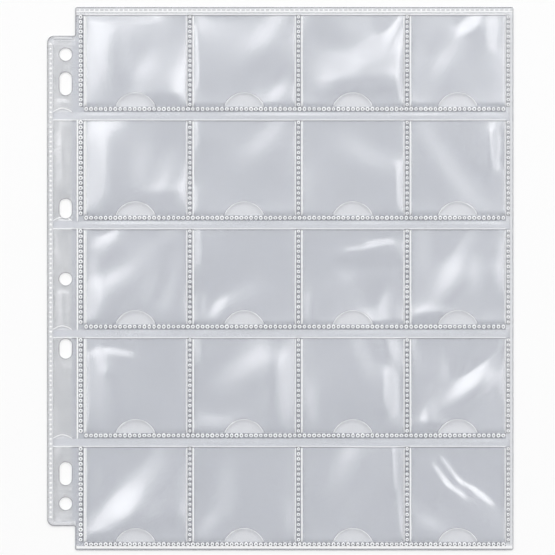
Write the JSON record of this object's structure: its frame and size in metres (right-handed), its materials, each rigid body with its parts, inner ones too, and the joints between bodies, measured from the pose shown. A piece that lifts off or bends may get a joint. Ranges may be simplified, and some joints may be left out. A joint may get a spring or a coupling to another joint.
{
  "type": "coin album page",
  "caption": "Clear film page with rows of open-topped pockets, beaded weld seams, thumb cut-outs and a punched strip for ring binders; it folds where the strip meets the pockets.",
  "frame": {"origin": "middle of the page's outline, on the rear face that it lies on", "axes": "+X from the binding strip to the outer edge, +Y towards the top edge where the pockets open, +Z out of the front of the page"},
  "size_m": [0.224, 0.261, 0.002],
  "materials": {
    "clear_film": "clear glossy film with soft ripples",
    "weld_seam": "pressed clear film with beads"
  },
  "bodies": {
    "binding": {"binding_rear_film": "clear_film", "binding_fold": "clear_film", "binding_edge_weld": "weld_seam", "binding_front_film_1": "clear_film", "binding_front_film_2": "clear_film", "binding_front_film_3": "clear_film", "binding_front_film_4": "clear_film", "binding_front_film_5": "clear_film"},
    "panel": {"page_rear_film": "clear_film", "margin_weld": "weld_seam", "outer_weld": "weld_seam", "top_weld": "weld_seam", "column_weld_1": "weld_seam", "column_weld_2": "weld_seam", "column_weld_3": "weld_seam", "row_weld_1": "weld_seam", "row_weld_2": "weld_seam", "row_weld_3": "weld_seam", "row_weld_4": "weld_seam", "row_weld_5": "weld_seam", "pocket_r1_c1": "clear_film", "pocket_r1_c2": "clear_film", "pocket_r1_c3": "clear_film", "pocket_r1_c4": "clear_film", "pocket_r2_c1": "clear_film", "pocket_r2_c2": "clear_film", "pocket_r2_c3": "clear_film", "pocket_r2_c4": "clear_film", "pocket_r3_c1": "clear_film", "pocket_r3_c2": "clear_film", "pocket_r3_c3": "clear_film", "pocket_r3_c4": "clear_film", "pocket_r4_c1": "clear_film", "pocket_r4_c2": "clear_film", "pocket_r4_c3": "clear_film", "pocket_r4_c4": "clear_film", "pocket_r5_c1": "clear_film", "pocket_r5_c2": "clear_film", "pocket_r5_c3": "clear_film", "pocket_r5_c4": "clear_film"}
  },
  "joints": [
    {"name": "margin_fold", "type": "hinge", "parent": "binding", "child": "panel", "pos_m": [-0.09905, 0, 0.0002], "axis": [0, -1, 0], "range_deg": [-90, 90], "deforming": ["binding_fold"]}
  ]
}
